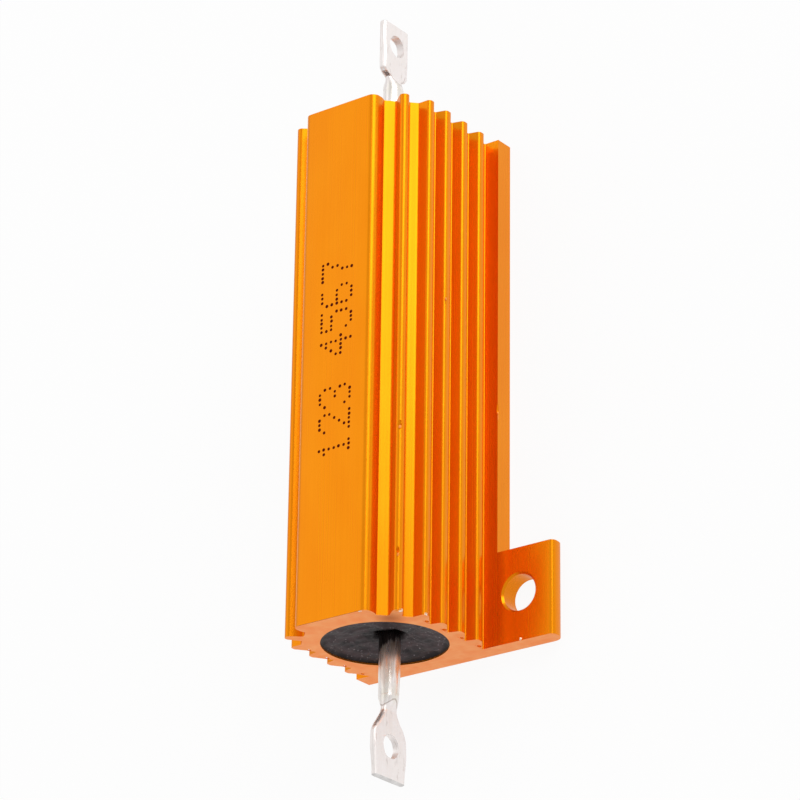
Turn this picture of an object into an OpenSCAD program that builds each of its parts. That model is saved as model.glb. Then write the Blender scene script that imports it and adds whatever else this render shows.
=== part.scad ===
// Aluminium housed wirewound power resistor, lying on its mounting face.
// X runs along the extrusion, Y across the two mounting tabs and Z up to the flat top.
// The origin is the middle of the mounting face. All sizes are in millimetres.

/* [Housing] */
// Length of the extrusion
body_length = 50; // [47:0.5:60]
// Height from the mounting face to the flat top
body_height = 16; // [15.8:0.1:17]
// Height of the bore's axis above the mounting face
axis_height = 7.95; // [7.85:0.05:8.1]
// Diameter of the bore that holds the wound core
bore_diameter = 11.4; // [10:0.1:11.6]
// Width of the flat top
cap_width = 8.1; // [7.5:0.1:9]
// Width of the base where the tabs are milled away
base_width = 15.6; // [15.4:0.1:17]
// Thickness of the base and of the tabs
base_thickness = 1.9; // [1.6:0.1:2.1]

/* [Fins] */
// Number of straight fins on each side
fin_count = 4; // [2:1:5]
// Width over the tips of the straight fins
fin_span = 14.8; // [14.2:0.1:15.2]
// Thickness of a fin at its tip
fin_tip = 0.75; // [0.7:0.05:0.9]
// How much a fin thickens on each side from its tip to its root
fin_taper = 0.3; // [0.1:0.05:0.45]
// Width between the roots of the grooves
root_span = 12.54; // [12.3:0.02:12.8]
// How far the slanting rib stands out from the bore's axis
rib_reach = 8.8; // [8.2:0.1:9.2]
// Thickness of the slanting rib at its rounded edge
rib_thickness = 0.9; // [0.8:0.05:1.1]
// How much the rib thickens on each side down to the shoulder
rib_taper = 0.2; // [0.05:0.05:0.3]

/* [Mounting tabs] */
// Width over the two tabs
tab_span = 27.6; // [25:0.2:32]
// Length of each tab along the body
tab_length = 8.8; // [7.5:0.1:12]
// Distance between the two holes along the body
hole_spacing_x = 40.8; // [39:0.2:41.6]
// Distance between the two holes across the body
hole_spacing_y = 20.2; // [19.8:0.1:22]
// Diameter of the mounting holes
hole_diameter = 3.4; // [2.8:0.1:3.8]

/* [Terminals] */
// Reach of the first terminal's tip from the middle of the body
terminal_reach_1 = 37.55; // [36:0.05:39]
// Reach of the second terminal's tip
terminal_reach_2 = 36.7; // [36:0.05:39]
// Distance between the two solder holes
solder_hole_spacing = 69; // [67.5:0.1:69.4]
// Diameter of the round shank
shank_diameter = 1.9; // [1.6:0.1:2.2]
// Width of the first terminal's lug at its hole
lug_width_1 = 4.7; // [3.6:0.1:4.8]
// Width of the second terminal's lug
lug_width_2 = 3.8; // [3.6:0.1:4.8]
// Diameter of the solder hole
solder_hole = 2.2; // [1.6:0.1:2.4]
// How far the first terminal stands off the bore's axis, across the body
slip_across = -0.35; // [-0.5:0.05:0.5]
// How far it stands off the axis, up or down
slip_up = -0.25; // [-0.5:0.05:0.5]

/* [Wound core] */
// Diameter of the ceramic core
core_diameter = 6; // [5:0.1:7]
// Length of the ceramic core
core_length = 36; // [32:0.5:38]
// Number of turns of resistance wire
turns = 18; // [10:1:24]
// Diameter of the resistance wire
wire_diameter = 0.4; // [0.3:0.02:0.5]

/* [Hidden] */
$fn = 64;
through = 1;             // how far a cutter runs past what it cuts

// Extrusion section
shoulder = 18.2 + body_height - 16;   // y + z along the 45 degree shoulder
cap_undercut = 0.2;      // how far the cap's sides draw in at their foot
cap_radius = 0.7;
tip_radius = 0.33;       // rounding of fin tips and other outer corners
fillet = 0.18;           // rounding of groove roots and other inner corners
rib_rise = 0.1;          // how far above the bore's axis the slanting rib aims
rib_foot = 6.6;          // where the rib starts, inside the wall
fin_low = base_thickness + 2;         // height of the lowest fin's middle
fin_high = shoulder - root_span / 2 - fin_tip / 2 + 0.1;
fin_pitch = (fin_high - fin_low) / (fin_count - 1);
tab_edge_low = 1.1;      // radius under the tab's long edge
tab_edge_high = 0.45;    // radius over it
hole_chamfer = 0.18;

// Wound core and its moulding
cap_wall = 0.5;
cap_floor = 0.5;
cap_depth = 4;           // how far the end cap reaches over the core
cap_x = core_length / 2 + cap_floor;  // outer face of the end cap
lip_x = core_length / 2 - cap_depth;  // rim of the end cap
wire_steps = 16;         // straight lengths in a turn of the winding
wire_sides = 6;
wire_clear = 0.01;
wire_path = core_diameter / 2 / cos(180 / wire_steps) + wire_clear + wire_diameter / 2;
sleeve_radius = wire_path + wire_diameter / 2 + wire_clear;
seal_recess = 0.1;       // depth of the compound's rim below the sawn end
seal_dish = 0.5;         // how much deeper its face is in the middle
dish_floor = 2.1;        // radius of the level middle
funnel_mouth = shank_diameter / 2 + 0.55;   // radius of the hollow round a terminal
funnel_gap = 0.15;       // width of the funnel's floor round the terminal
funnel_depth = 1;

// Terminals: a lug is the shank pressed flat, so its section keeps the shank's area
shank_radius = shank_diameter / 2;
slip_1 = [0, slip_across, slip_up];
slip_2 = [0, 0, 0];
press_x = 29.8;          // where the press starts to flatten the shank
press_length = 1.4;      // length over which the thickness comes down
shoulder_x = 31;         // where the lug starts to widen
spread_1 = 2.7;          // length over which the first lug widens
spread_2 = 0.6;
narrowing_1 = 0.4;       // how much narrower the first lug is at its tip
narrowing_2 = 0.05;
neck_radius = shank_radius - 0.02;    // radius at which the lug leaves the shank
lug_root = 0.2;          // how far the lug's skin runs back into the shank
tip_bevel = 0.1;
edge_share = 0.98;       // rounding of the lug's long edges, as a share of half its thickness
solder_hole_x = solder_hole_spacing / 2;
lug_sides = 24;
lug_steps = 20;

// Helpers

function arc(centre, radius, from, to, steps) =
    [for (i = [0:steps]) let (a = from + (to - from) * i / steps)
        centre + radius * [cos(a), sin(a)]];

function smooth(t) = let (s = min(1, max(0, t))) s * s * (3 - 2 * s);

function mix(a, b, t) = a + (b - a) * t;

// Closed skin through rings that all have the same number of points
module loft(rings) {
    sides = len(rings[0]);
    last = len(rings) - 1;
    polyhedron(
        points = [for (ring = rings) each ring],
        faces = concat(
            [[for (k = [0:sides - 1]) k]],
            [for (i = [0:last - 1], k = [0:sides - 1])
                let (a = i * sides + k, b = i * sides + (k + 1) % sides)
                [b, a, a + sides]],
            [for (i = [0:last - 1], k = [0:sides - 1])
                let (a = i * sides + k, b = i * sides + (k + 1) % sides)
                [b, a + sides, b + sides]],
            [[for (k = [sides - 1:-1:0]) last * sides + k]]));
}

// Rounds the outer corners of a flat shape, then its inner ones
module rounded(outer, inner) {
    offset(r = -inner) offset(r = outer + inner) offset(r = -outer) children();
}

// Turns a shape made round the Z axis to lie along X on the bore's axis
module on_axis() {
    translate([0, 0, axis_height]) rotate([0, 90, 0]) children();
}

module at_end(side) {
    mirror([side < 0 ? 1 : 0, 0, 0]) children();
}

// Section of the extrusion: 2D x is across the body, 2D y is up

module straight_fins() {
    root = root_span / 2 - 0.4;
    slope = fin_taper / ((fin_span - root_span) / 2);
    half_root = fin_tip / 2 + slope * (fin_span / 2 - root);
    intersection() {
        for (i = [0:fin_count - 1])
            translate([0, fin_low + i * fin_pitch])
                polygon([[root, -half_root], [fin_span / 2, -fin_tip / 2],
                         [fin_span / 2, fin_tip / 2], [root, half_root]]);
        square([fin_span, fin_high + fin_tip / 2 + 0.02]);
    }
}

module slanting_rib() {
    centre = rib_reach - rib_thickness / 2;
    half_foot = rib_thickness / 2 + rib_taper;
    translate([0, axis_height + rib_rise]) rotate(45) {
        polygon([[rib_foot, -half_foot], [centre, -rib_thickness / 2],
                 [centre, rib_thickness / 2], [rib_foot, half_foot]]);
        translate([centre, 0]) circle(d = rib_thickness, $fn = 24);
    }
}

module flat_cap() {
    half = cap_width / 2;
    foot = shoulder - half;
    polygon(concat(
        [[0, axis_height], [half - cap_undercut, foot], [half, foot + 0.7]],
        arc([half - cap_radius, body_height - cap_radius], cap_radius, 0, 90, 6),
        [[0, body_height]]));
}

module body_wall() {
    polygon([[0, 0], [root_span / 2, 0], [root_span / 2, shoulder - root_span / 2],
             [0, shoulder]]);
}

module both_sides() {
    children();
    mirror([1, 0]) children();
}

module finned_section() {
    rounded(tip_radius, fillet) both_sides() {
        intersection() {
            body_wall();
            square([root_span, body_height - 1]);
        }
        straight_fins();
        slanting_rib();
        translate([-through, 0]) square([base_width / 2 + through, base_thickness]);
    }
    both_sides() flat_cap();
}

module base_section() {
    half = tab_span / 2;
    both_sides()
        polygon(concat(
            [[0, 0]],
            arc([half - tab_edge_low, tab_edge_low], tab_edge_low, -90, 0, 6),
            arc([half - tab_edge_high, base_thickness - tab_edge_high], tab_edge_high, 0, 90, 5),
            [[0, base_thickness]]));
}

module along_body(length) {
    rotate([90, 0, 90]) linear_extrude(height = length, center = true) children();
}

// What the cutter takes off one side of the base, leaving a tab at the low X end
module side_cut() {
    width = tab_span / 2 - base_width / 2 + through;
    translate([-body_length / 2 + tab_length, -tab_span / 2 - through, -through])
        cube([body_length - tab_length + through, width, base_thickness + 2 * through]);
}

module mounting_hole() {
    translate([-hole_spacing_x / 2, -hole_spacing_y / 2, 0]) {
        translate([0, 0, -through])
            cylinder(d = hole_diameter, h = base_thickness + 2 * through);
        translate([0, 0, base_thickness - hole_chamfer])
            cylinder(d1 = hole_diameter, d2 = hole_diameter + 4 * hole_chamfer,
                     h = 2 * hole_chamfer);
    }
}

module housing() {
    color("orange")
    difference() {
        union() {
            along_body(body_length) finned_section();
            along_body(body_length) base_section();
        }
        on_axis() cylinder(d = bore_diameter, h = body_length + 2 * through, center = true);
        for (turn = [0, 180])
            rotate(turn) {
                side_cut();
                mounting_hole();
            }
    }
}

// Hole for a terminal, which opens into a hollow in the face of the compound
module terminal_hole() {
    floor_x = body_length / 2 - seal_recess - seal_dish - funnel_depth;
    width = funnel_mouth - shank_radius - funnel_gap;
    translate([0, 0, cap_x - through])
        cylinder(r = shank_radius, h = body_length / 2 - cap_x + 2 * through);
    rotate_extrude()
        polygon(concat(
            [[0, floor_x]],
            [for (a = [180:-16:100])
                [funnel_mouth + width * cos(a), floor_x + funnel_depth * sin(a)]],
            [[funnel_mouth, floor_x + funnel_depth + 0.05],
             [funnel_mouth, body_length / 2 + through], [0, body_length / 2 + through]]));
}

// Fills the bore round the wound core and is dished at both ends
module moulding_compound() {
    rim_x = body_length / 2 - seal_recess;
    dish_steps = 6;
    half = concat(
        [[sleeve_radius, lip_x], [core_diameter / 2 + cap_wall, lip_x],
         [core_diameter / 2 + cap_wall, cap_x], [0, cap_x], [0, rim_x - seal_dish]],
        [for (i = [0:dish_steps])
            [mix(dish_floor, bore_diameter / 2, i / dish_steps),
             rim_x - seal_dish * (1 - smooth(i / dish_steps))]]);
    back = [for (i = [len(half) - 1:-1:0]) [half[i][0], -half[i][1]]];
    color("dimgray")
    difference() {
        on_axis() rotate_extrude() polygon(concat(half, back));
        translate(slip_1) at_end(-1) on_axis() terminal_hole();
        translate(slip_2) at_end(1) on_axis() terminal_hole();
    }
}

module ceramic_core() {
    color("ivory")
    on_axis() cylinder(d = core_diameter, h = core_length, center = true);
}

// One helix of round wire between the rims of the two end caps
module resistance_winding() {
    reach = lip_x - wire_diameter / 2 - wire_clear;
    steps = turns * wire_steps;
    color("darkgray")
    on_axis()
        loft([for (i = [0:steps])
            let (a = 360 * i / wire_steps, z = mix(-reach, reach, i / steps))
            [for (k = [0:wire_sides - 1])
                let (b = 360 * k / wire_sides,
                     r = wire_path + wire_diameter / 2 * cos(b))
                [r * cos(a), r * sin(a), z - wire_diameter / 2 * sin(b)]]]);
}

module end_cap(side) {
    color("silver")
    at_end(side) on_axis()
        difference() {
            translate([0, 0, lip_x])
                cylinder(d = core_diameter + 2 * cap_wall, h = cap_x - lip_x);
            translate([0, 0, lip_x - through])
                cylinder(d = core_diameter, h = core_length / 2 - lip_x + through);
        }
}

// Thickness that keeps the shank's area in a lug with rounded edges
function lug_thickness(width) = PI * shank_radius * shank_radius / (width - 0.2);

// Outline across X, at a distance x from the middle of the body
function lug_ring(x, thickness, width, shrink) =
    let (pressed = smooth((x - press_x) / press_length),
         t = mix(neck_radius, thickness / 2, pressed) - shrink,
         w = width / 2 - shrink,
         r = edge_share * min(t, w))
    [for (k = [0:lug_sides - 1])
        let (a = 360 * (k + 0.5) / lug_sides,
             sy = cos(a) > 0 ? 1 : -1,
             sz = sin(a) > 0 ? 1 : -1)
        [x, sy * (t - r) + r * cos(a), sz * (w - r) + r * sin(a)]];

// Round shank that is flattened into a solder lug, standing on edge
module terminal(reach, lug_width, spread, narrowing) {
    thickness = lug_thickness(lug_width);
    function width(x) = mix(2 * neck_radius, lug_width, smooth((x - shoulder_x) / spread))
        - narrowing * smooth((x - solder_hole_x) / (reach - solder_hole_x));
    color("gainsboro")
    difference() {
        union() {
            translate([cap_x, 0, axis_height]) rotate([0, 90, 0])
                cylinder(r = shank_radius, h = press_x - cap_x);
            translate([0, 0, axis_height])
                loft(concat(
                    [lug_ring(press_x - lug_root, thickness, 2 * neck_radius, 0)],
                    [for (i = [0:lug_steps])
                        let (x = mix(press_x, reach - tip_bevel, pow(i / lug_steps, 1.2)))
                        lug_ring(x, thickness, width(x), 0)],
                    [lug_ring(reach, thickness, width(reach), tip_bevel)]));
        }
        translate([solder_hole_x, 0, axis_height]) rotate([90, 0, 0])
            cylinder(d = solder_hole, h = lug_width, center = true);
    }
}

module terminal_1() {
    translate(slip_1) at_end(-1)
        terminal(terminal_reach_1, lug_width_1, spread_1, narrowing_1);
}

module terminal_2() {
    translate(slip_2) at_end(1)
        terminal(terminal_reach_2, lug_width_2, spread_2, narrowing_2);
}

housing();
moulding_compound();
ceramic_core();
resistance_winding();
end_cap(-1);  // end_cap_1
end_cap(1);  // end_cap_2
terminal_1();
terminal_2();
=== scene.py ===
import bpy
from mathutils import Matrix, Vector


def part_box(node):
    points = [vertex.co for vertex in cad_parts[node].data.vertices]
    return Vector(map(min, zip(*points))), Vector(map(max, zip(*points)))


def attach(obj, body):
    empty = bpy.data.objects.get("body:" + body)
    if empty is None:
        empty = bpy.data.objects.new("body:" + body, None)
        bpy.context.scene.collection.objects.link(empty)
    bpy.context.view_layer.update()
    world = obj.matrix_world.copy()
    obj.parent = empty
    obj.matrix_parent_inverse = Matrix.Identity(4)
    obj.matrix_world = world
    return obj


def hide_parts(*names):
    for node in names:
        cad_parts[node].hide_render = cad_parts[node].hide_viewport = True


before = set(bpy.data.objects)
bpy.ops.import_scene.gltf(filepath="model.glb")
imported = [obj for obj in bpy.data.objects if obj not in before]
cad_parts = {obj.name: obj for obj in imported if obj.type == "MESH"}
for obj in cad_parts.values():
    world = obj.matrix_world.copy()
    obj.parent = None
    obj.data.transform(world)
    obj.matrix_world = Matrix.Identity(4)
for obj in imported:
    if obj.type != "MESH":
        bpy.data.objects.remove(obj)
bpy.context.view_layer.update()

import math
import random

import bmesh
import bpy
from mathutils import Matrix, Vector, noise

mm = 0.001
scene = bpy.context.scene
scene.view_settings.view_transform = "Standard"


# Camera, lamps and world

cameraView = {
    "location": (-136.564, -189.018, 255.190),   # mm
    "turn": (23.982, 36.894, -89.107),           # degrees
    "lens": 168.94,
    "sensor": 36.0,
    "clip": (0.01, 10),                          # m
}


def makeCamera():
    data = bpy.data.cameras.new("camera")
    data.lens = cameraView["lens"]
    data.sensor_width = cameraView["sensor"]
    data.clip_start, data.clip_end = cameraView["clip"]
    camera = bpy.data.objects.new("camera", data)
    camera.location = Vector(cameraView["location"]) * mm
    camera.rotation_euler = [math.radians(a) for a in cameraView["turn"]]
    scene.collection.objects.link(camera)
    scene.camera = camera


studio = {
    "world": 0.72,
    "lamps": [   # towards the lamp, distance in m, height and width in m, power in W
        {"name": "key", "from": (0.588, -0.65, 0.49), "away": 0.9, "size": (0.6, 0.45), "power": 2.0},
        {"name": "top", "from": (0.40, 0.55, 0.73), "away": 0.9, "size": (0.6, 0.6), "power": 0.42},
    ],
}


def makeLamp(lamp):
    data = bpy.data.lights.new(lamp["name"], "AREA")
    data.shape = "RECTANGLE"
    data.size, data.size_y = lamp["size"]
    data.energy = lamp["power"]
    thing = bpy.data.objects.new(lamp["name"], data)
    towards = Vector(lamp["from"]).normalized()
    thing.location = towards * lamp["away"]
    thing.rotation_mode = "QUATERNION"
    thing.rotation_quaternion = towards.to_track_quat("Z", "X")
    scene.collection.objects.link(thing)


def makeWorld():
    world = bpy.data.worlds.new("studio")
    world.use_nodes = True
    background = world.node_tree.nodes["Background"]
    background.inputs["Color"].default_value = (1, 1, 1, 1)
    background.inputs["Strength"].default_value = studio["world"]
    scene.world = world


# Helpers for materials

noiseSpan = (0.3, 0.7)   # most of a noise lies between these values
moreDetail = 3.0
quarterTurn = 0.25


def newMaterial(name):
    material = bpy.data.materials.new(name)
    material.use_nodes = True
    tree = material.node_tree
    shader = tree.nodes["Principled BSDF"]
    return material, tree, shader


def fill(tree, socket, value):
    if isinstance(value, bpy.types.NodeSocket):
        tree.links.new(value, socket)
    else:
        socket.default_value = value


def node(tree, kind, settings=None, **sockets):
    made = tree.nodes.new("ShaderNode" + kind)
    for key, value in (settings or {}).items():
        setattr(made, key, value)
    for key, value in sockets.items():
        fill(tree, made.inputs[key.replace("_", " ")], value)
    return made


# Object coordinates in mm, scaled along each axis and turned by degrees
def stretched(tree, scale, turn=(0, 0, 0)):
    place = node(tree, "TexCoord")
    mapping = node(tree, "Mapping", Vector=place.outputs["Object"])
    mapping.inputs["Scale"].default_value = [s / mm for s in scale]
    mapping.inputs["Rotation"].default_value = [math.radians(a) for a in turn]
    return mapping.outputs["Vector"]


def noiseOn(tree, vector, detail=2.0, rough=0.5):
    return node(tree, "TexNoise", Vector=vector, Scale=1.0, Detail=detail, Roughness=rough).outputs["Fac"]


def calculate(tree, operation, *values):
    made = node(tree, "Math", {"operation": operation})
    for index, value in enumerate(values):
        fill(tree, made.inputs[index], value)
    return made.outputs[0]


# One axis of the object coordinates, in mm
def along(tree, axis):
    place = node(tree, "TexCoord")
    parts = node(tree, "SeparateXYZ", Vector=place.outputs["Object"])
    return calculate(tree, "MULTIPLY", parts.outputs[axis], 1 / mm)


# Distance in mm from a line along X, from how far across and how far up of it
def distanceRound(tree, across, up):
    squares = [calculate(tree, "POWER", value, 2.0) for value in (across, up)]
    return calculate(tree, "SQRT", calculate(tree, "ADD", *squares))


def ranged(tree, value, low, high, toLow=0.0, toHigh=1.0):
    made = node(tree, "MapRange", Value=value)
    for key, number in (("From Min", low), ("From Max", high), ("To Min", toLow), ("To Max", toHigh)):
        made.inputs[key].default_value = number
    return made.outputs["Result"]


def blendColours(tree, factor, first, second):
    made = node(tree, "Mix", {"data_type": "RGBA"})
    for index, value in ((0, factor), (6, first), (7, second)):   # 6 and 7 are its colour sockets
        fill(tree, made.inputs[index], value)
    return made.outputs[2]


# Bumps one on the other, each given as height, strength and distance in mm
def bumped(tree, shader, layers):
    last = None
    for height, strength, distance in layers:
        bump = node(tree, "Bump", Height=height, Strength=strength, Distance=distance * mm)
        if last:
            tree.links.new(last, bump.inputs["Normal"])
        last = bump.outputs["Normal"]
    tree.links.new(last, shader.inputs["Normal"])


# Smooth along X and rough across it, as a die leaves a surface
def drawnAlongX(tree, shader, share):
    shader.inputs["Anisotropic"].default_value = share
    shader.inputs["Anisotropic Rotation"].default_value = quarterTurn
    direction = node(tree, "CombineXYZ", X=1.0)
    tree.links.new(direction.outputs[0], shader.inputs["Tangent"])


# Materials. A triple is a noise's turns in a mm along each axis, a bump is strength and distance in mm

anodisedLook = {
    "colour": (0.925, 0.288, 0.004, 1),
    "deeper": (0.895, 0.258, 0.003, 1),
    "metal": 0.84,
    "sheen": 0.12,
    "roughness": (0.23, 0.28),
    "drawn": 0.6,
    "dieLines": (0.02, 4, 4),
    "cloud": (0.15, 0.3, 0.3),
    "grain": (8, 14, 14),
    "lineShare": 0.3,    # how far the die lines and the cloud deepen the colour
    "cloudShare": 0.7,
    "lineBump": (0.04, 0.002),
    "grainBump": (0.12, 0.003),
}


def anodisedAluminium():
    look = anodisedLook
    material, tree, shader = newMaterial("anodised_aluminium")
    shader.inputs["Metallic"].default_value = look["metal"]
    shader.inputs["Specular IOR Level"].default_value = look["sheen"]
    drawnAlongX(tree, shader, look["drawn"])
    dieLines = noiseOn(tree, stretched(tree, look["dieLines"]))
    cloud = noiseOn(tree, stretched(tree, look["cloud"]))
    grain = noiseOn(tree, stretched(tree, look["grain"]))
    clouded = ranged(tree, cloud, *noiseSpan, 0, look["cloudShare"])
    share = calculate(tree, "MULTIPLY_ADD", dieLines, look["lineShare"], clouded)
    tree.links.new(blendColours(tree, share, look["colour"], look["deeper"]), shader.inputs["Base Color"])
    tree.links.new(ranged(tree, dieLines, *noiseSpan, *look["roughness"]), shader.inputs["Roughness"])
    bumped(tree, shader, [(dieLines, *look["lineBump"]), (grain, *look["grainBump"])])
    return material


sawnLook = {
    "colour": (0.98, 0.37, 0.10, 1),
    "deeper": (0.96, 0.29, 0.05, 1),
    "roughness": (0.36, 0.5),
    "marks": (1, 0.35, 7),
    "markTurn": (20, 0, 0),              # degrees
    "patches": (1, 0.8, 0.8),
    "patchSpan": (0.35, 0.65),
    "markBump": (0.35, 0.01),
    "patchBump": (0.3, 0.02),
    # a darker brown patch on the sawn end beside the slanting rib, with a ragged edge
    "brownPatchColour": (0.60, 0.16, 0.02, 1),
    "brownPatchAt": (-24.95, -4.4, 12.95),   # mm
    "brownPatchReach": (1.7, 0.5),           # mm, where it begins and where it is full
    "brownPatchShare": 0.9,
    "brownPatchRagged": 0.5,                 # mm
}


def sawnAluminium():
    look = sawnLook
    material, tree, shader = newMaterial("sawn_aluminium")
    shader.inputs["Metallic"].default_value = 1
    marks = noiseOn(tree, stretched(tree, look["marks"], look["markTurn"]), moreDetail)
    patches = noiseOn(tree, stretched(tree, look["patches"]))
    colour = blendColours(tree, ranged(tree, patches, *look["patchSpan"]), look["colour"], look["deeper"])
    # darker brown patch on the sawn end beside the slanting rib, its edge made ragged by the saw marks
    place = node(tree, "TexCoord")
    away = node(tree, "VectorMath", {"operation": "DISTANCE"})
    tree.links.new(place.outputs["Object"], away.inputs[0])
    away.inputs[1].default_value = [v * mm for v in look["brownPatchAt"]]
    ragged = calculate(tree, "MULTIPLY_ADD", marks, look["brownPatchRagged"] * mm, away.outputs["Value"])
    brownPatchMask = ranged(tree, ragged, *[v * mm for v in look["brownPatchReach"]], 0, look["brownPatchShare"])
    tree.links.new(blendColours(tree, brownPatchMask, colour, look["brownPatchColour"]), shader.inputs["Base Color"])
    tree.links.new(ranged(tree, marks, *noiseSpan, *look["roughness"]), shader.inputs["Roughness"])
    bumped(tree, shader, [(marks, *look["markBump"]), (patches, *look["patchBump"])])
    return material


burrLook = {
    "bare": (0.93, 0.90, 0.88, 1),
    "gilded": (0.95, 0.55, 0.30, 1),
    "roughness": 0.3,
    "torn": (6, 6, 6),
    "tornSpan": (0.4, 0.6),
    "tornBump": (0.5, 0.03),
}


def bareBurr():
    look = burrLook
    material, tree, shader = newMaterial("bare_burr")
    shader.inputs["Metallic"].default_value = 1
    torn = noiseOn(tree, stretched(tree, look["torn"]))
    colour = blendColours(tree, ranged(tree, torn, *look["tornSpan"]), look["bare"], look["gilded"])
    tree.links.new(colour, shader.inputs["Base Color"])
    shader.inputs["Roughness"].default_value = look["roughness"]
    bumped(tree, shader, [(torn, *look["tornBump"])])
    return material


inkLook = {
    "dark": (0.075, 0.003, 0.001, 1),
    "thin": (0.15, 0.008, 0.003, 1),
    "speckle": (9, 9, 9),
    "roughness": 0.8,
    "sheen": 0.05,
}


def markingInk():
    look = inkLook
    material, tree, shader = newMaterial("marking_ink")
    speckle = noiseOn(tree, stretched(tree, look["speckle"]))
    tree.links.new(blendColours(tree, speckle, look["dark"], look["thin"]), shader.inputs["Base Color"])
    shader.inputs["Roughness"].default_value = look["roughness"]
    shader.inputs["Specular IOR Level"].default_value = look["sheen"]
    return material


compoundLook = {
    "ground": ((0.008, 0.005, 0.006, 1), (0.078, 0.052, 0.055, 1)),
    # painted shade colour, used at the bore's rim and round the terminal
    "dark": (0.006, 0.002, 0.002, 1),
    "pale": (0.30, 0.26, 0.27, 1),
    "roughness": (0.45, 0.65),
    "sheen": 0.22,
    "grains": (3.2, 3.2, 3.2),
    "grainEdge": (0.14, 0.30),    # distance from its middle over which a pale grain ends
    "patches": (0.7, 0.7, 0.7),
    "fine": (7, 7, 7),
    "spread": (1.6, 1.6, 1.6),    # only some grains show
    "spreadSpan": (0.46, 0.6),
    "spreadShare": 0.9,
    "axis": 7.95,                 # mm above the mounting face
    # painted shade: the face darkens towards the bore's rim
    "rim": (5.35, 5.75),          # radius over which the face darkens, in mm
    "rimShadeWander": 0.3,
    # painted shade in the hollow round the terminal
    "hollow": (2.0, 2.8),         # radius over which the dark round the terminal ends, in mm
    "hollowAside": 0.15,          # mm towards +Y
    "hollowShare": 0.9,
    "hollowWander": 0.9,
    "fineBump": (0.6, 0.04),
    "grainBump": (0.5, 0.03),
}


def mouldingCompound():
    look = compoundLook
    material, tree, shader = newMaterial("moulding_compound")
    grains = node(tree, "TexVoronoi", Vector=stretched(tree, look["grains"]), Scale=1.0)
    paleGrains = ranged(tree, grains.outputs["Distance"], *look["grainEdge"], 1, 0)
    patches = noiseOn(tree, stretched(tree, look["patches"]), moreDetail)
    fine = noiseOn(tree, stretched(tree, look["fine"]))
    spread = noiseOn(tree, stretched(tree, look["spread"]))
    ground = blendColours(tree, ranged(tree, patches, *noiseSpan), *look["ground"])
    up = calculate(tree, "SUBTRACT", along(tree, 2), look["axis"])
    radius = distanceRound(tree, along(tree, 1), up)
    # painted shade at the bore's rim, its edge moved by the patches
    rim = ranged(tree, calculate(tree, "MULTIPLY_ADD", patches, look["rimShadeWander"], radius), *look["rim"])
    ground = blendColours(tree, rim, ground, look["dark"])
    # painted shade round the terminal, where the hollow dips in, shifted a little towards +Y
    aside = calculate(tree, "SUBTRACT", along(tree, 1), look["hollowAside"])
    fromPin = distanceRound(tree, aside, up)
    shaded = calculate(tree, "MULTIPLY_ADD", patches, look["hollowWander"], fromPin)
    hollow = ranged(tree, shaded, *look["hollow"], look["hollowShare"], 0)
    ground = blendColours(tree, hollow, ground, look["dark"])
    some = ranged(tree, spread, *look["spreadSpan"], 0, look["spreadShare"])
    chosen = calculate(tree, "MULTIPLY", paleGrains, some)
    chosen = calculate(tree, "MULTIPLY", chosen, ranged(tree, rim, 0, 1, 1, 0))
    chosen = calculate(tree, "MULTIPLY", chosen, ranged(tree, hollow, 0, look["hollowShare"], 1, 0))
    tree.links.new(blendColours(tree, chosen, ground, look["pale"]), shader.inputs["Base Color"])
    tree.links.new(ranged(tree, patches, *noiseSpan, *look["roughness"]), shader.inputs["Roughness"])
    shader.inputs["Specular IOR Level"].default_value = look["sheen"]
    bumped(tree, shader, [(fine, *look["fineBump"]), (paleGrains, *look["grainBump"])])
    return material


terminalLook = {
    "bright": (0.97, 0.915, 0.90, 1),
    "warm": (0.83, 0.785, 0.70, 1),
    # real stain near the seal and on rub marks, also used as painted shade along the crease
    "stainAndShade": (0.34, 0.25, 0.20, 1),
    # dark compound crept onto the pin near the seal, together with painted shade and painted reflection of
    # the dark seal
    "creepAndShade": (0.035, 0.025, 0.025, 1),
    "roughness": (0.2, 0.42),
    "lugRougher": 0.16,
    "flow": (0.5, 1.6, 1.6),
    "flowSpan": (0.35, 0.65),
    "streaks": (0.3, 6, 6),
    "streakSpan": (0.35, 0.6),
    "rubs": (1.1, 4, 4),
    "rubRough": 0.65,
    "rubSpan": (0.60, 0.66),
    "axis": (-0.2, 7.82),        # mm, Y and Z about midway between the two terminals' middles
    "shankEnd": 30.2,            # mm from the middle of the body, as are the next ones
    "shankFade": 0.6,
    "stainFrom": 26.9,
    "stainTo": 25.3,
    "creepShadeEdge": 25.55,
    "creepShadeFade": 0.12,
    "creepShadeShare": 0.95,
    "creepShadeRagged": (1.6, 0.7),    # mm that the streaks move the edge, and its slant across the pin
    "creaseAt": 30.3,            # where the flat starts in the middle of the lug
    "creaseBend": 0.95,
    "creaseWander": 0.3,
    "creaseHalf": (0.03, 0.10),
    "creaseFace": (1.15, 1.3),   # mm from the lug's middle where the crease ends
    "creaseShadeShare": 0.55,
    "warmShare": (0.15, 0.9),    # on the lug, on the pin
    "rubShare": (0.2, 0.12),
    "flowBump": (0.4, 0.04),
    "streakBump": (0.5, 0.02),
    "creaseBump": (-0.6, 0.03),
}


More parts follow.
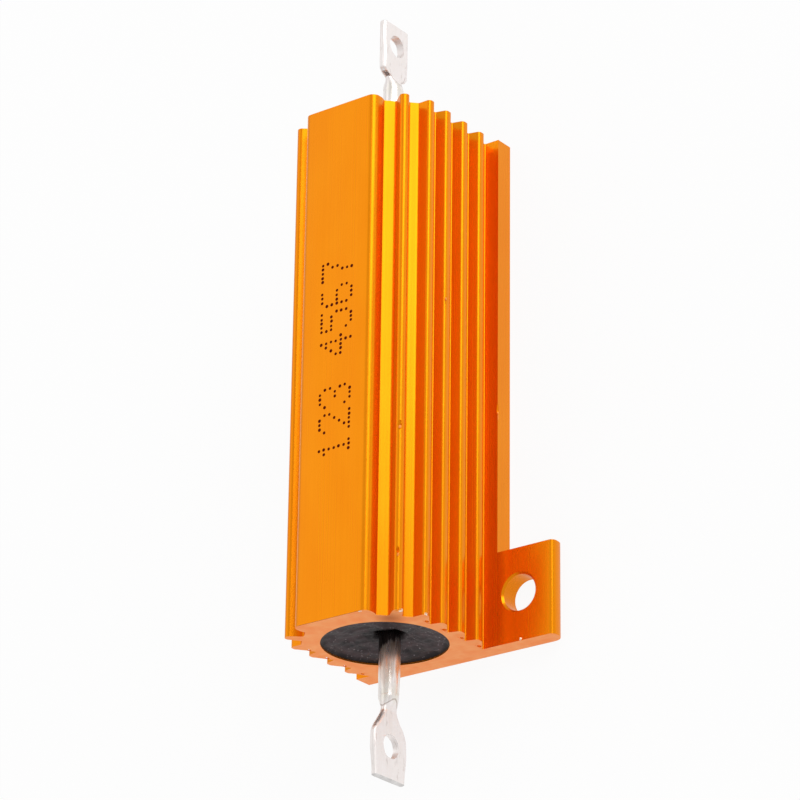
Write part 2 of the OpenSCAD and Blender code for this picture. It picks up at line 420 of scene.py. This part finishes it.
def tinnedTerminal():
    look = terminalLook
    material, tree, shader = newMaterial("tinned_terminal")
    shader.inputs["Metallic"].default_value = 1
    flow = noiseOn(tree, stretched(tree, look["flow"]), moreDetail)
    streaks = noiseOn(tree, stretched(tree, look["streaks"]), moreDetail)
    rubs = noiseOn(tree, stretched(tree, look["rubs"]), moreDetail, look["rubRough"])
    out = calculate(tree, "ABSOLUTE", along(tree, 0))
    across = calculate(tree, "SUBTRACT", along(tree, 1), look["axis"][0])
    up = calculate(tree, "SUBTRACT", along(tree, 2), look["axis"][1])
    onShank = ranged(tree, out, look["shankEnd"] + look["shankFade"], look["shankEnd"])

    warmShare = ranged(tree, onShank, 0, 1, *look["warmShare"])
    warmth = calculate(tree, "MULTIPLY", ranged(tree, flow, *look["flowSpan"]), warmShare)
    clean = blendColours(tree, warmth, look["bright"], look["warm"])
    nearSeal = ranged(tree, out, look["stainFrom"], look["stainTo"])
    stained = calculate(tree, "MULTIPLY", nearSeal, ranged(tree, streaks, *look["streakSpan"]))
    colour = blendColours(tree, stained, clean, look["stainAndShade"])
    rubShare = ranged(tree, onShank, 0, 1, *look["rubShare"])
    rubbed = calculate(tree, "MULTIPLY", ranged(tree, rubs, *look["rubSpan"]), rubShare)
    colour = blendColours(tree, rubbed, colour, look["stainAndShade"])

    # near the seal the pin is darkened: crept compound plus painted shade and painted reflection of the
    # seal, with a slanted ragged edge
    wander, slant = look["creepShadeRagged"]
    ragged = calculate(tree, "MULTIPLY_ADD", streaks, wander, calculate(tree, "MULTIPLY", across, slant))
    level = calculate(tree, "SUBTRACT", out, calculate(tree, "SUBTRACT", ragged, wander / 2))
    edge, fade = look["creepShadeEdge"], look["creepShadeFade"]
    creepAndShade = ranged(tree, level, edge + fade, edge - fade, 0, look["creepShadeShare"])
    colour = blendColours(tree, creepAndShade, colour, look["creepAndShade"])

    bend = calculate(tree, "MULTIPLY", calculate(tree, "POWER", up, 2.0), look["creaseBend"])
    fromCrease = calculate(tree, "SUBTRACT", out, bend)
    fromCrease = calculate(tree, "SUBTRACT", fromCrease, look["creaseAt"])
    fromCrease = calculate(tree, "SUBTRACT", fromCrease, look["creaseWander"] / 2)
    fromCrease = calculate(tree, "MULTIPLY_ADD", flow, look["creaseWander"], fromCrease)
    crease = ranged(tree, calculate(tree, "ABSOLUTE", fromCrease), *look["creaseHalf"], 1, 0)
    onFace = ranged(tree, calculate(tree, "ABSOLUTE", up), *look["creaseFace"], 1, 0)
    crease = calculate(tree, "MULTIPLY", crease, onFace)
    # painted shade along the crease where the pin's step meets the pressed flat; the crease also gives a
    # bump
    creaseShade = calculate(tree, "MULTIPLY", crease, look["creaseShadeShare"])
    tree.links.new(blendColours(tree, creaseShade, colour, look["stainAndShade"]), shader.inputs["Base Color"])

    dull = ranged(tree, onShank, 0, 1, look["lugRougher"], 0)
    rough = calculate(tree, "ADD", ranged(tree, streaks, *noiseSpan, *look["roughness"]), dull)
    tree.links.new(rough, shader.inputs["Roughness"])
    bumped(tree, shader, [
        (flow, *look["flowBump"]), (streaks, *look["streakBump"]), (crease, *look["creaseBump"]),
    ])
    return material


ceramicLook = {
    "shades": ((0.80, 0.76, 0.68, 1), (0.88, 0.86, 0.80, 1)),
    "speckle": (3, 3, 3),
    "roughness": 0.7,
    "speckleBump": (0.4, 0.03),
}


def ceramic():
    look = ceramicLook
    material, tree, shader = newMaterial("ceramic")
    speckle = noiseOn(tree, stretched(tree, look["speckle"]), moreDetail)
    tree.links.new(blendColours(tree, speckle, *look["shades"]), shader.inputs["Base Color"])
    shader.inputs["Roughness"].default_value = look["roughness"]
    bumped(tree, shader, [(speckle, *look["speckleBump"])])
    return material


drawnLooks = {
    "sheared_edge": {
        "drawn": (1.5, 1.5, 1.5),
        "shades": ((0.45, 0.43, 0.42, 1), (1.0, 0.98, 0.97, 1)),
        "roughness": (0.35, 0.5),
    },
    "resistance_wire": {
        "drawn": (6, 6, 6),
        "shades": ((0.40, 0.38, 0.35, 1), (0.52, 0.49, 0.45, 1)),
        "roughness": (0.3, 0.45),
    },
    "end_cap_steel": {
        "drawn": (0.4, 5, 5),
        "shades": ((0.66, 0.66, 0.65, 1), (0.76, 0.75, 0.73, 1)),
        "roughness": (0.25, 0.4),
    },
}


# A metal with two shades and a range of roughness
def drawnMetal(name):
    look = drawnLooks[name]
    material, tree, shader = newMaterial(name)
    shader.inputs["Metallic"].default_value = 1
    drawn = noiseOn(tree, stretched(tree, look["drawn"]))
    tree.links.new(blendColours(tree, drawn, *look["shades"]), shader.inputs["Base Color"])
    tree.links.new(ranged(tree, drawn, *noiseSpan, *look["roughness"]), shader.inputs["Roughness"])
    return material


# Helpers for pieces

meshing = {
    "weld": 0.0003,      # mm between vertices that are the same in a solid's mesh
    "cutWeld": 0.0005,   # mm, the same after a cut
    "touching": 0.001,   # mm, still on a plane
    "flat": 0.5,         # degrees between faces that lie in one plane
}

lumpyBall = {
    "subdivisions": 2,
    "turns": 5,          # of noise in a mm
    "sunk": 0.3,         # taken off the noise, so that a ball loses more than it gains
}


def addPiece(name, mesh, materials, replaced=()):
    piece = bpy.data.objects.new(name, mesh)
    scene.collection.objects.link(piece)
    for material in materials:
        mesh.materials.append(material)
    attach(piece, "root")
    if replaced:
        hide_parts(*replaced)


# Gives a piece of the frame its material and leaves its shape alone
def dress(name, material):
    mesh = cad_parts[name].data
    mesh.materials.clear()
    mesh.materials.append(material)


def copyOfNode(name):
    mesh = bmesh.new()
    mesh.from_mesh(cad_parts[name].data)
    bmesh.ops.remove_doubles(mesh, verts=mesh.verts, dist=meshing["weld"] * mm)
    return mesh


# The same with the triangles of each plane joined into one face
def joinedCopyOfNode(name):
    mesh = copyOfNode(name)
    bmesh.ops.dissolve_limit(mesh, angle_limit=math.radians(meshing["flat"]), verts=mesh.verts,
                             edges=mesh.edges, delimit={"NORMAL"})
    return mesh


def smoothByAngle(mesh, degrees):
    limit = math.radians(degrees)
    for face in mesh.faces:
        face.smooth = True
    for edge in mesh.edges:
        edge.smooth = edge.is_manifold and edge.calc_face_angle(0) < limit


def meshFrom(working, name):
    mesh = bpy.data.meshes.new(name)
    working.to_mesh(mesh)
    working.free()
    return mesh


# A closed mesh with another one taken out of it or added to it
def carved(mesh, tool, operation="DIFFERENCE"):
    body = bpy.data.objects.new("body_to_carve", mesh)
    other = bpy.data.objects.new("tool", tool)
    for thing in (body, other):
        scene.collection.objects.link(thing)
    carve = body.modifiers.new("carve", "BOOLEAN")
    carve.operation = operation
    carve.solver = "EXACT"
    carve.use_self = operation == "UNION"
    carve.object = other
    view = bpy.context.evaluated_depsgraph_get()
    view.update()
    result = bpy.data.meshes.new_from_object(body.evaluated_get(view))
    for thing in (body, other):
        bpy.data.objects.remove(thing)
    return result


# Ball of the given half sizes in mm
def addBall(mesh, middle, sizes, unevenness=0.0):
    move = Matrix.Translation(Vector(middle) * mm)
    shape = Matrix.Diagonal([size * mm for size in sizes] + [1])
    made = bmesh.ops.create_icosphere(mesh, subdivisions=lumpyBall["subdivisions"], radius=1,
                                      matrix=move @ shape)
    for vert in made["verts"]:
        out = vert.co - Vector(middle) * mm
        lump = noise.noise(vert.co / mm * lumpyBall["turns"]) - lumpyBall["sunk"]
        vert.co += out * unevenness * lump


# Goes softly from 0 to 1
def easeIn(share):
    share = min(1.0, max(0.0, share))
    return share * share * (3 - 2 * share)


# Housing

housing = {
    "rimChamfer": 0.05,       # mm, burr edge round the sawn ends
    "smooth": 28,             # degrees between faces that are shaded as one
    "dotAcross": 0.55,        # mm between dots across the body
    "dotAlong": 0.42,         # mm between dots along the body
    "dotSize": 0.31,
    "dotDepth": 0.02,
    "dotSides": 14,
    "dotSlip": (0.03, 0.02),  # mm, along and across
    "dotSpread": (0.88, 1.1),
    "dotSeed": 4,
    "firstDot": (-9.9, 1.5),  # mm, X and Y of the first figure's upper corner
    "figureStep": 2.47,
    "figures": "123 4567",
    "nicks": [                # mm, middle, half size along X, half size across
        ((-7.65, -6.14, 14.31), 0.38, 0.20),
        ((-19.5, -6.14, 14.31), 0.40, 0.16),
        ((12.4, -6.0, 14.3), 0.18, 0.08),
        ((5.6, -7.42, 9.4), 0.30, 0.12),
        ((-14.1, -6.02, 14.28), 0.12, 0.05),
        ((17.3, -7.4, 9.35), 0.12, 0.05),
        ((-2.36, -7.80, 1.87), 0.55, 0.13),
    ],
    "nickUneven": 0.5,
    "burrs": [                # mm, middle and half sizes of torn bare metal at the sawn end
        ((-24.98, -3.30, 15.84), (0.12, 0.22, 0.14)),
        ((-24.90, -6.22, 13.90), (0.15, 0.20, 0.24)),
        ((-24.86, -7.34, 11.76), (0.13, 0.13, 0.26)),
        ((-24.92, -6.95, 3.36), (0.08, 0.26, 0.10)),
        ((-24.86, -10.30, 1.90), (0.14, 0.16, 0.12)),
        ((-24.92, -13.20, 1.80), (0.08, 0.14, 0.08)),
    ],
    "flakes": [               # pushed-up metal beside a nick
        ((-7.98, -6.20, 14.35), (0.20, 0.13, 0.13)),
        ((-19.95, -6.18, 14.37), (0.18, 0.11, 0.11)),
        ((5.9, -7.42, 9.42), (0.20, 0.10, 0.12)),
        ((-3.1, -7.76, 1.84), (0.45, 0.07, 0.07)),
    ],
    "curl": ((-24.94, -5.96, 13.99), (0.16, 0.46, 0.44)),   # rolled edge on the slanting rib
    "burrUneven": 0.4,
    "finCount": 4,
    "finFirst": 3.9,                # mm, height of the lowest fin's middle
    "finPitch": 2.585,
    "finHalf": (0.675, 0.375),      # half thickness at the root and at the tip
    "finReach": (6.27, 7.4),        # mm from the middle of the body to the root and to the tip
    "baseTop": 1.9,
    "curtain": {                    # mm, the burr hanging in each groove
        "seed": 9,
        "thickness": 0.07,
        "behind": 0.02,             # from the sawn face in to the burr
        "atTip": (0.05, 0.05),      # how far its corners lie inside the metal, across and up
        "atRoot": (0.05, 0.02),
        "inFin": (0.1, 0.1),
        "shares": (0.25, 0.5, 0.75),
        "wander": (-0.05, 0.07),
        "pocket": (0.19, 1.19),     # middle of its opening, out from the root and below the fin above
        "pocketHalf": (0.3, 0.17, 0.25),
        "pocketSpread": (0.8, 1.1),
    },
    "slots": {"anodised": 0, "sawn": 1, "ink": 2, "burr": 3},
    "sawnNormal": 0.95,
    "sawnBand": 0.06,               # mm behind the end
    "inkHalf": 2.5,                 # mm on each side of the middle
    "inkBand": (0.05, 0.005),       # mm below the top
    "smallFace": 0.2,               # mm, side of the largest face on a burr or a flake
    "spotReach": 1.5,               # square of the distance, in half sizes of the spot
}

dotFigures = {   # seven rows of five dots
    "1": ("..#..", ".##..", "..#..", "..#..", "..#..", "..#..", ".###."),
    "2": (".###.", "#...#", "....#", "...#.", "..#..", ".#...", "#####"),
    "3": (".###.", "#...#", "....#", "..##.", "....#", "#...#", ".###."),
    "4": ("...#.", "..##.", ".#.#.", "#..#.", "#####", "...#.", "...#."),
    "5": ("#####", "#....", "####.", "....#", "....#", "#...#", ".###."),
    "6": (".###.", "#....", "#....", "####.", "#...#", "#...#", ".###."),
    "7": ("#####", "....#", "...#.", "...#.", "..#..", "..#..", "..#.."),
}


# Shallow round pits in the flat top, one for each printed dot
def addMarking(cutter, top):
    chance = random.Random(housing["dotSeed"])
    slipAlong, slipAcross = housing["dotSlip"]
    firstX, firstY = housing["firstDot"]
    for place, figure in enumerate(housing["figures"]):
        for row, line in enumerate(dotFigures.get(figure, ())):
            for column, spot in enumerate(line):
                if spot != "#":
                    continue
                x = firstX + place * housing["figureStep"] + column * housing["dotAlong"]
                x += chance.uniform(-slipAlong, slipAlong)
                y = firstY - row * housing["dotAcross"] + chance.uniform(-slipAcross, slipAcross)
                radius = housing["dotSize"] / 2 * chance.uniform(*housing["dotSpread"]) * mm
                bmesh.ops.create_cone(cutter, cap_ends=True, segments=housing["dotSides"], radius1=radius,
                                      radius2=radius, depth=2 * housing["dotDepth"] * mm,
                                      matrix=Matrix.Translation(Vector((x * mm, y * mm, top))))


def addNicks(cutter):
    for middle, long, wide in housing["nicks"]:
        addBall(cutter, middle, (long, wide, wide), housing["nickUneven"])


# Thin burr that hangs in each groove of the sawn end and leaves an opening at the groove's root
def addCurtains(extra, cutter, end):
    curtain = housing["curtain"]
    chance = random.Random(curtain["seed"])
    root, tip = housing["finReach"]
    halfRoot, halfTip = housing["finHalf"]
    atTip, atRoot, inFin = curtain["atTip"], curtain["atRoot"], curtain["inFin"]
    fins = [housing["finFirst"] + i * housing["finPitch"] for i in range(housing["finCount"])]
    below = [housing["baseTop"] - halfRoot] + fins[:-1]
    for upper, lower in zip(fins, below):
        for side in (-1, 1):
            start = Vector((tip - atTip[0], upper - halfTip + atTip[1]))
            finish = Vector((root - atRoot[0], lower + halfRoot - atRoot[1]))
            outline = [Vector((root - inFin[0], upper - halfRoot + inFin[1])), start]
            for share in curtain["shares"]:
                outline.append(start.lerp(finish, share) + Vector((chance.uniform(*curtain["wander"]), 0)))
            outline.append(finish)
            x = end + curtain["behind"]
            corners = [extra.verts.new(Vector((x, side * y, z)) * mm) for y, z in outline]
            bmesh.ops.contextual_create(extra, geom=corners)
            sheet = [f for f in extra.faces if set(f.verts) == set(corners)]
            pulled = bmesh.ops.extrude_face_region(extra, geom=sheet)
            moved = [v for v in pulled["geom"] if isinstance(v, bmesh.types.BMVert)]
            bmesh.ops.translate(extra, verts=moved, vec=(curtain["thickness"] * mm, 0, 0))
            size = chance.uniform(*curtain["pocketSpread"])
            out, down = curtain["pocket"]
            long, wide, high = curtain["pocketHalf"]
            addBall(cutter, (end, side * (root + out), upper - down), (long, wide * size, high * size))


def near(point, middle, sizes):
    away = [(a / mm - b) / c for a, b, c in zip(point, middle, sizes)]
    return sum(v * v for v in away) < housing["spotReach"]


# The saw's small burr edge
def chamferEnds(mesh, ends):
    chamfer = housing["rimChamfer"] * mm
    touching = meshing["touching"] * mm
    for end in ends:
        sawn = [f for f in mesh.faces if all(abs(v.co.x - end) < touching for v in f.verts)]
        rim = {v for f in sawn for v in f.verts}
        bmesh.ops.inset_region(mesh, faces=sawn, thickness=chamfer, depth=0, use_even_offset=True)
        inner = {v for f in sawn for v in f.verts}
        for vert in rim - inner:
            vert.co.x += chamfer if end < 0 else -chamfer


def giveHousingSlots(mesh, high):
    slots = housing["slots"]
    inkLow, inkHigh = [high.z - depth * mm for depth in housing["inkBand"]]
    sawnFrom = high.x - housing["sawnBand"] * mm
    for face in mesh.faces:
        middle = face.calc_center_median()
        face.material_index = slots["anodised"]
        if abs(face.normal.x) > housing["sawnNormal"] and abs(middle.x) > sawnFrom:
            face.material_index = slots["sawn"]
        if abs(middle.y) < housing["inkHalf"] * mm and inkLow < middle.z < inkHigh:
            face.material_index = slots["ink"]
        if face.calc_area() < (housing["smallFace"] * mm) ** 2:
            if any(near(middle, *spot) for spot in housing["flakes"]):
                face.material_index = slots["sawn"]
            if any(near(middle, *spot) for spot in housing["burrs"]):
                face.material_index = slots["burr"]


def finishHousing(materials):
    low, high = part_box("housing")
    mesh = joinedCopyOfNode("housing")
    chamferEnds(mesh, (low.x, high.x))
    cutter = bmesh.new()
    extra = bmesh.new()
    addMarking(cutter, high.z)
    addNicks(cutter)
    addCurtains(extra, cutter, low.x / mm)
    for middle, sizes in housing["burrs"] + housing["flakes"] + [housing["curl"]]:
        addBall(extra, middle, sizes, housing["burrUneven"])
    bmesh.ops.recalc_face_normals(extra, faces=extra.faces)
    full = carved(meshFrom(mesh, "housing_plain"), meshFrom(extra, "extra"), "UNION")
    full = carved(full, meshFrom(cutter, "cutter"))
    mesh = bmesh.new()
    mesh.from_mesh(full)
    giveHousingSlots(mesh, high)
    smoothByAngle(mesh, housing["smooth"])
    finished = meshFrom(mesh, "housing_finish")
    addPiece("housing_finish", finished, materials, ["housing"])
    print("housing finished")


# Seal

seal = {
    "around": 120,           # steps round the bore
    "ringStep": 0.1,         # mm between rings of the face
    "below": 0.1,            # mm from the sawn end down to the compound's rim
    "recess": 0.13,          # mm from the sawn end down to the cut rim
    "dish": 0.5,             # mm from the rim down to the dish's floor
    "dishFloor": 2.1,        # mm, radius of that floor
    "mouth": 1.62,           # mm, radius of the hollow round the terminal
    "inner": 0.97,           # mm, radius inside the terminal's skin
    "gap": 0.15,             # mm between that radius and the foot of the hollow's wall
    "depth": 1.0,            # mm of the hollow below the dish
    "wallSteps": 10,
    "past": 0.3,             # mm that the cutter reaches past the bore
    "above": 1,              # mm that it reaches above the sawn end
    "rimFade": (0.1, 0.5),   # mm, where the lumps end past the bore, and over what width they fade
    "slipFade": (3.9, 2.2),  # mm, the same for the hollow's shift to the terminal
    "smooth": 50,            # degrees between faces that are shaded as one
    "lumps": [(0.7, 0.22), (1.9, 0.10), (4.5, 0.045)],   # turns of noise in a mm, height in mm
    "lumpRaise": 0.5,        # added to the noise, so that most of it cuts
}


# Radius and depth below the sawn end, from the middle out past the bore
def sealProfile(boreRadius):
    level = seal["recess"] + seal["dish"]
    width = seal["mouth"] - seal["inner"] - seal["gap"]
    points = [(0, level + seal["depth"]), (seal["inner"], level + seal["depth"])]
    for i in range(seal["wallSteps"] + 1):
        angle = math.pi / 2 * i / seal["wallSteps"]
        wall = seal["mouth"] - width * math.cos(angle)
        points.append((wall, level + seal["depth"] * (1 - math.sin(angle))))
    rings = round((boreRadius - seal["mouth"]) / seal["ringStep"])
    for i in range(1, rings + 1):
        radius = seal["mouth"] + (boreRadius - seal["mouth"]) * i / rings
        rise = easeIn((radius - seal["dishFloor"]) / (boreRadius - seal["dishFloor"]))
        points.append((radius, level - seal["dish"] * rise))
    edge = points[-1][1]
    outside = boreRadius + seal["past"]
    return points + [(outside, edge), (outside, -seal["above"]), (0, -seal["above"])]


# The face of the compound is set and lumpy, so its outer skin is cut back unevenly
def finishSeal(material):
    low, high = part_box("moulding_compound")
    radius = (high.y - low.y) / 2
    axis = Vector((0, (high.y + low.y) / 2, (high.z + low.z) / 2))
    end = high.x / mm + seal["below"]
    rimEnd, rimWidth = [v * mm for v in seal["rimFade"]]
    slipEnd, slipWidth = [v * mm for v in seal["slipFade"]]
    cutter = bmesh.new()
    for side, name in ((-1, "terminal_1"), (1, "terminal_2")):
        first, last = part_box(name)
        slip = Vector((0, (first.y + last.y) / 2, (first.z + last.z) / 2)) - axis
        start = []
        for r, deep in sealProfile(radius / mm):
            start.append(cutter.verts.new(Vector((side * (end - deep) * mm, axis.y, axis.z + r * mm))))
        edges = [cutter.edges.new(pair) for pair in zip(start, start[1:])]
        known = set(cutter.verts) - set(start)
        bmesh.ops.spin(cutter, geom=start + edges, cent=axis, axis=(side, 0, 0), angle=math.tau,
                       steps=seal["around"], use_merge=True)
        for vert in set(cutter.verts) - known:
            if abs(vert.co.x) > end * mm:
                continue
            away = Vector((0, vert.co.y - axis.y, vert.co.z - axis.z))
            inRim = easeIn((radius + rimEnd - away.length) / rimWidth)
            place = vert.co / mm
            lift = sum(height * (seal["lumpRaise"] + noise.noise(place * turns))
                       for turns, height in seal["lumps"])
            vert.co.x -= side * max(lift, 0) * inRim * mm
            vert.co += slip * easeIn((slipEnd - away.length) / slipWidth)
    bmesh.ops.remove_doubles(cutter, verts=cutter.verts, dist=meshing["cutWeld"] * mm)
    bmesh.ops.recalc_face_normals(cutter, faces=cutter.faces)
    full = carved(meshFrom(copyOfNode("moulding_compound"), "compound_plain"), meshFrom(cutter, "skin"))
    mesh = bmesh.new()
    mesh.from_mesh(full)
    smoothByAngle(mesh, seal["smooth"])
    addPiece("moulding_compound_finish", meshFrom(mesh, "moulding_compound_finish"), [material],
             ["moulding_compound"])
    print("compound finished")


# Terminals

terminal = {
    "from": 24.2,            # mm, where the visible part starts
    "fade": 0.6,             # mm over which the unevenness sets in
    "flatFrom": 30.2,        # mm, where the pressed part starts
    "stepAlong": 0.24,       # mm between the cuts that let the skin move
    "stepAcross": 0.3,
    "firstAcross": 0.2,      # mm from the lower edge to the first cut across
    "keepOff": 0.1,          # mm, no cut is nearer than this to an edge
    "lumps": [(0.45, 0.05), (1.4, 0.05), (3.0, 0.04)],   # turns of noise in a mm, depth in mm
    "stretch": 0.22,         # share of those turns that is left along the pin
    "shear": (0.16, 0.35),   # mm from the tip, and least tilt, of faces left by the shear
    "taper": (28.8, 29.8, 0.02),   # mm, where the pin draws in to meet the pressed part, and by how much
    "smooth": 40,            # degrees between faces that are shaded as one
    "slots": {"tinned": 0, "sheared": 1},
}


def cutThrough(mesh, faces, point, normal):
    edges = {e for f in faces for e in f.edges}
    verts = {v for f in faces for v in f.verts}
    bmesh.ops.bisect_plane(mesh, geom=list(verts) + list(edges) + list(faces),
                           dist=meshing["cutWeld"] * mm, plane_co=point, plane_no=normal)


def cutIntoSteps(mesh, low, high, side, reach):
    x = terminal["from"] * mm
    while x < reach - terminal["keepOff"] * mm:
        cutThrough(mesh, list(mesh.faces), (side * x, 0, 0), (1, 0, 0))
        x += terminal["stepAlong"] * mm
    z = low.z + terminal["firstAcross"] * mm
    while z < high.z - terminal["keepOff"] * mm:
        flat = [f for f in mesh.faces if abs(f.calc_center_median().x) > terminal["flatFrom"] * mm]
        cutThrough(mesh, flat, (0, 0, z), (0, 0, 1))
        z += terminal["stepAcross"] * mm


# Dipped in tin, so the skin is slightly uneven, mostly along the pin
def moveSkin(mesh):
    begin, finish, drawnIn = terminal["taper"]
    mesh.normal_update()
    for vert in mesh.verts:
        out = abs(vert.co.x) / mm
        place = Vector((vert.co.x * terminal["stretch"], vert.co.y, vert.co.z)) / mm
        sunk = sum(depth * noise.noise(place * turns) for turns, depth in terminal["lumps"])
        sunk *= easeIn((out - terminal["from"]) / terminal["fade"])
        outward = Vector((0, vert.normal.y, vert.normal.z))
        if out < finish + meshing["touching"]:
            sunk += drawnIn * easeIn((out - begin) / (finish - begin))
            outward.normalize()
        vert.co -= outward * sunk * mm


def finishTerminal(name, materials):
    low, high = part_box(name)
    side = -1 if low.x < 0 else 1
    reach = max(abs(low.x), abs(high.x))
    mesh = joinedCopyOfNode(name)
    cutIntoSteps(mesh, low, high, side, reach)
    moveSkin(mesh)
    deep, tilt = terminal["shear"]
    slots = terminal["slots"]
    for face in mesh.faces:
        atTip = abs(face.calc_center_median().x) > reach - deep * mm
        face.material_index = slots["sheared" if atTip and abs(face.normal.x) > tilt else "tinned"]
    smoothByAngle(mesh, terminal["smooth"])
    addPiece(name + "_finish", meshFrom(mesh, name + "_finish"), materials, [name])
    print(name, "finished")


# Floor

floorLook = {
    "colour": (0.95, 0.95, 0.95, 1),
    "roughness": 0.9,
    "whiteSeen": 0.92,        # share of plain white that the camera sees
    "whiteReflected": 0.75,   # and that reflections see
    "half": 3,                # m
    "drop": 0.01,             # mm below the mounting face
}


def makeFloor():
    material, tree, shader = newMaterial("studio_floor")
    shader.inputs["Base Color"].default_value = floorLook["colour"]
    shader.inputs["Roughness"].default_value = floorLook["roughness"]
    output = tree.nodes["Material Output"]
    white = node(tree, "Emission", Strength=1.0)
    path = node(tree, "LightPath")
    seen = calculate(tree, "MULTIPLY", path.outputs["Is Camera Ray"], floorLook["whiteSeen"])
    reflected = path.outputs["Is Glossy Ray"]
    share = calculate(tree, "MULTIPLY_ADD", reflected, floorLook["whiteReflected"], seen)
    both = node(tree, "MixShader", Fac=share)
    tree.links.new(shader.outputs[0], both.inputs[1])
    tree.links.new(white.outputs[0], both.inputs[2])
    tree.links.new(both.outputs[0], output.inputs["Surface"])
    mesh = bmesh.new()
    bmesh.ops.create_grid(mesh, x_segments=1, y_segments=1, size=floorLook["half"])
    floor = bpy.data.objects.new("floor", meshFrom(mesh, "floor"))
    floor.data.materials.append(material)
    floor.location.z = -floorLook["drop"] * mm
    scene.collection.objects.link(floor)


makeCamera()
makeWorld()
for lamp in studio["lamps"]:
    makeLamp(lamp)
makeFloor()
print("studio ready")

compound = mouldingCompound()
tinned = tinnedTerminal()
sheared = drawnMetal("sheared_edge")
finishHousing([anodisedAluminium(), sawnAluminium(), markingInk(), bareBurr()])
finishSeal(compound)
for name in ("terminal_1", "terminal_2"):
    finishTerminal(name, [tinned, sheared])
dress("ceramic_core", ceramic())
wire = drawnMetal("resistance_wire")
steel = drawnMetal("end_cap_steel")
dress("resistance_winding", wire)
dress("end_cap_1", steel)
dress("end_cap_2", steel)
print("inner pieces have their materials")
